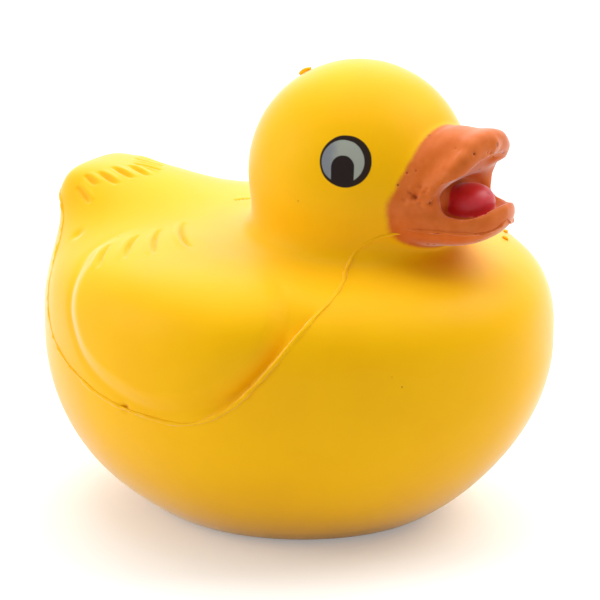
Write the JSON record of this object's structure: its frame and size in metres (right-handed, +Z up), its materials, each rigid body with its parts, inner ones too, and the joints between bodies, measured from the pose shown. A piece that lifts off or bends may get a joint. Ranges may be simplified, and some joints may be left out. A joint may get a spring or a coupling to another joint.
{
  "type": "duck stress ball",
  "caption": "Solid foam duck, moulded in one piece with an open bill and a flat base, for squeezing in the hand.",
  "frame": {"origin": "centre of the flat base that the duck stands on", "axes": "+Z up, -Y the way the duck faces, +X the duck's left"},
  "size_m": [0.0828, 0.0911, 0.0787],
  "materials": {
    "foam": "satin skin on soft foam"
  },
  "bodies": {
    "root": {"duck": "foam"}
  },
  "joints": []
}
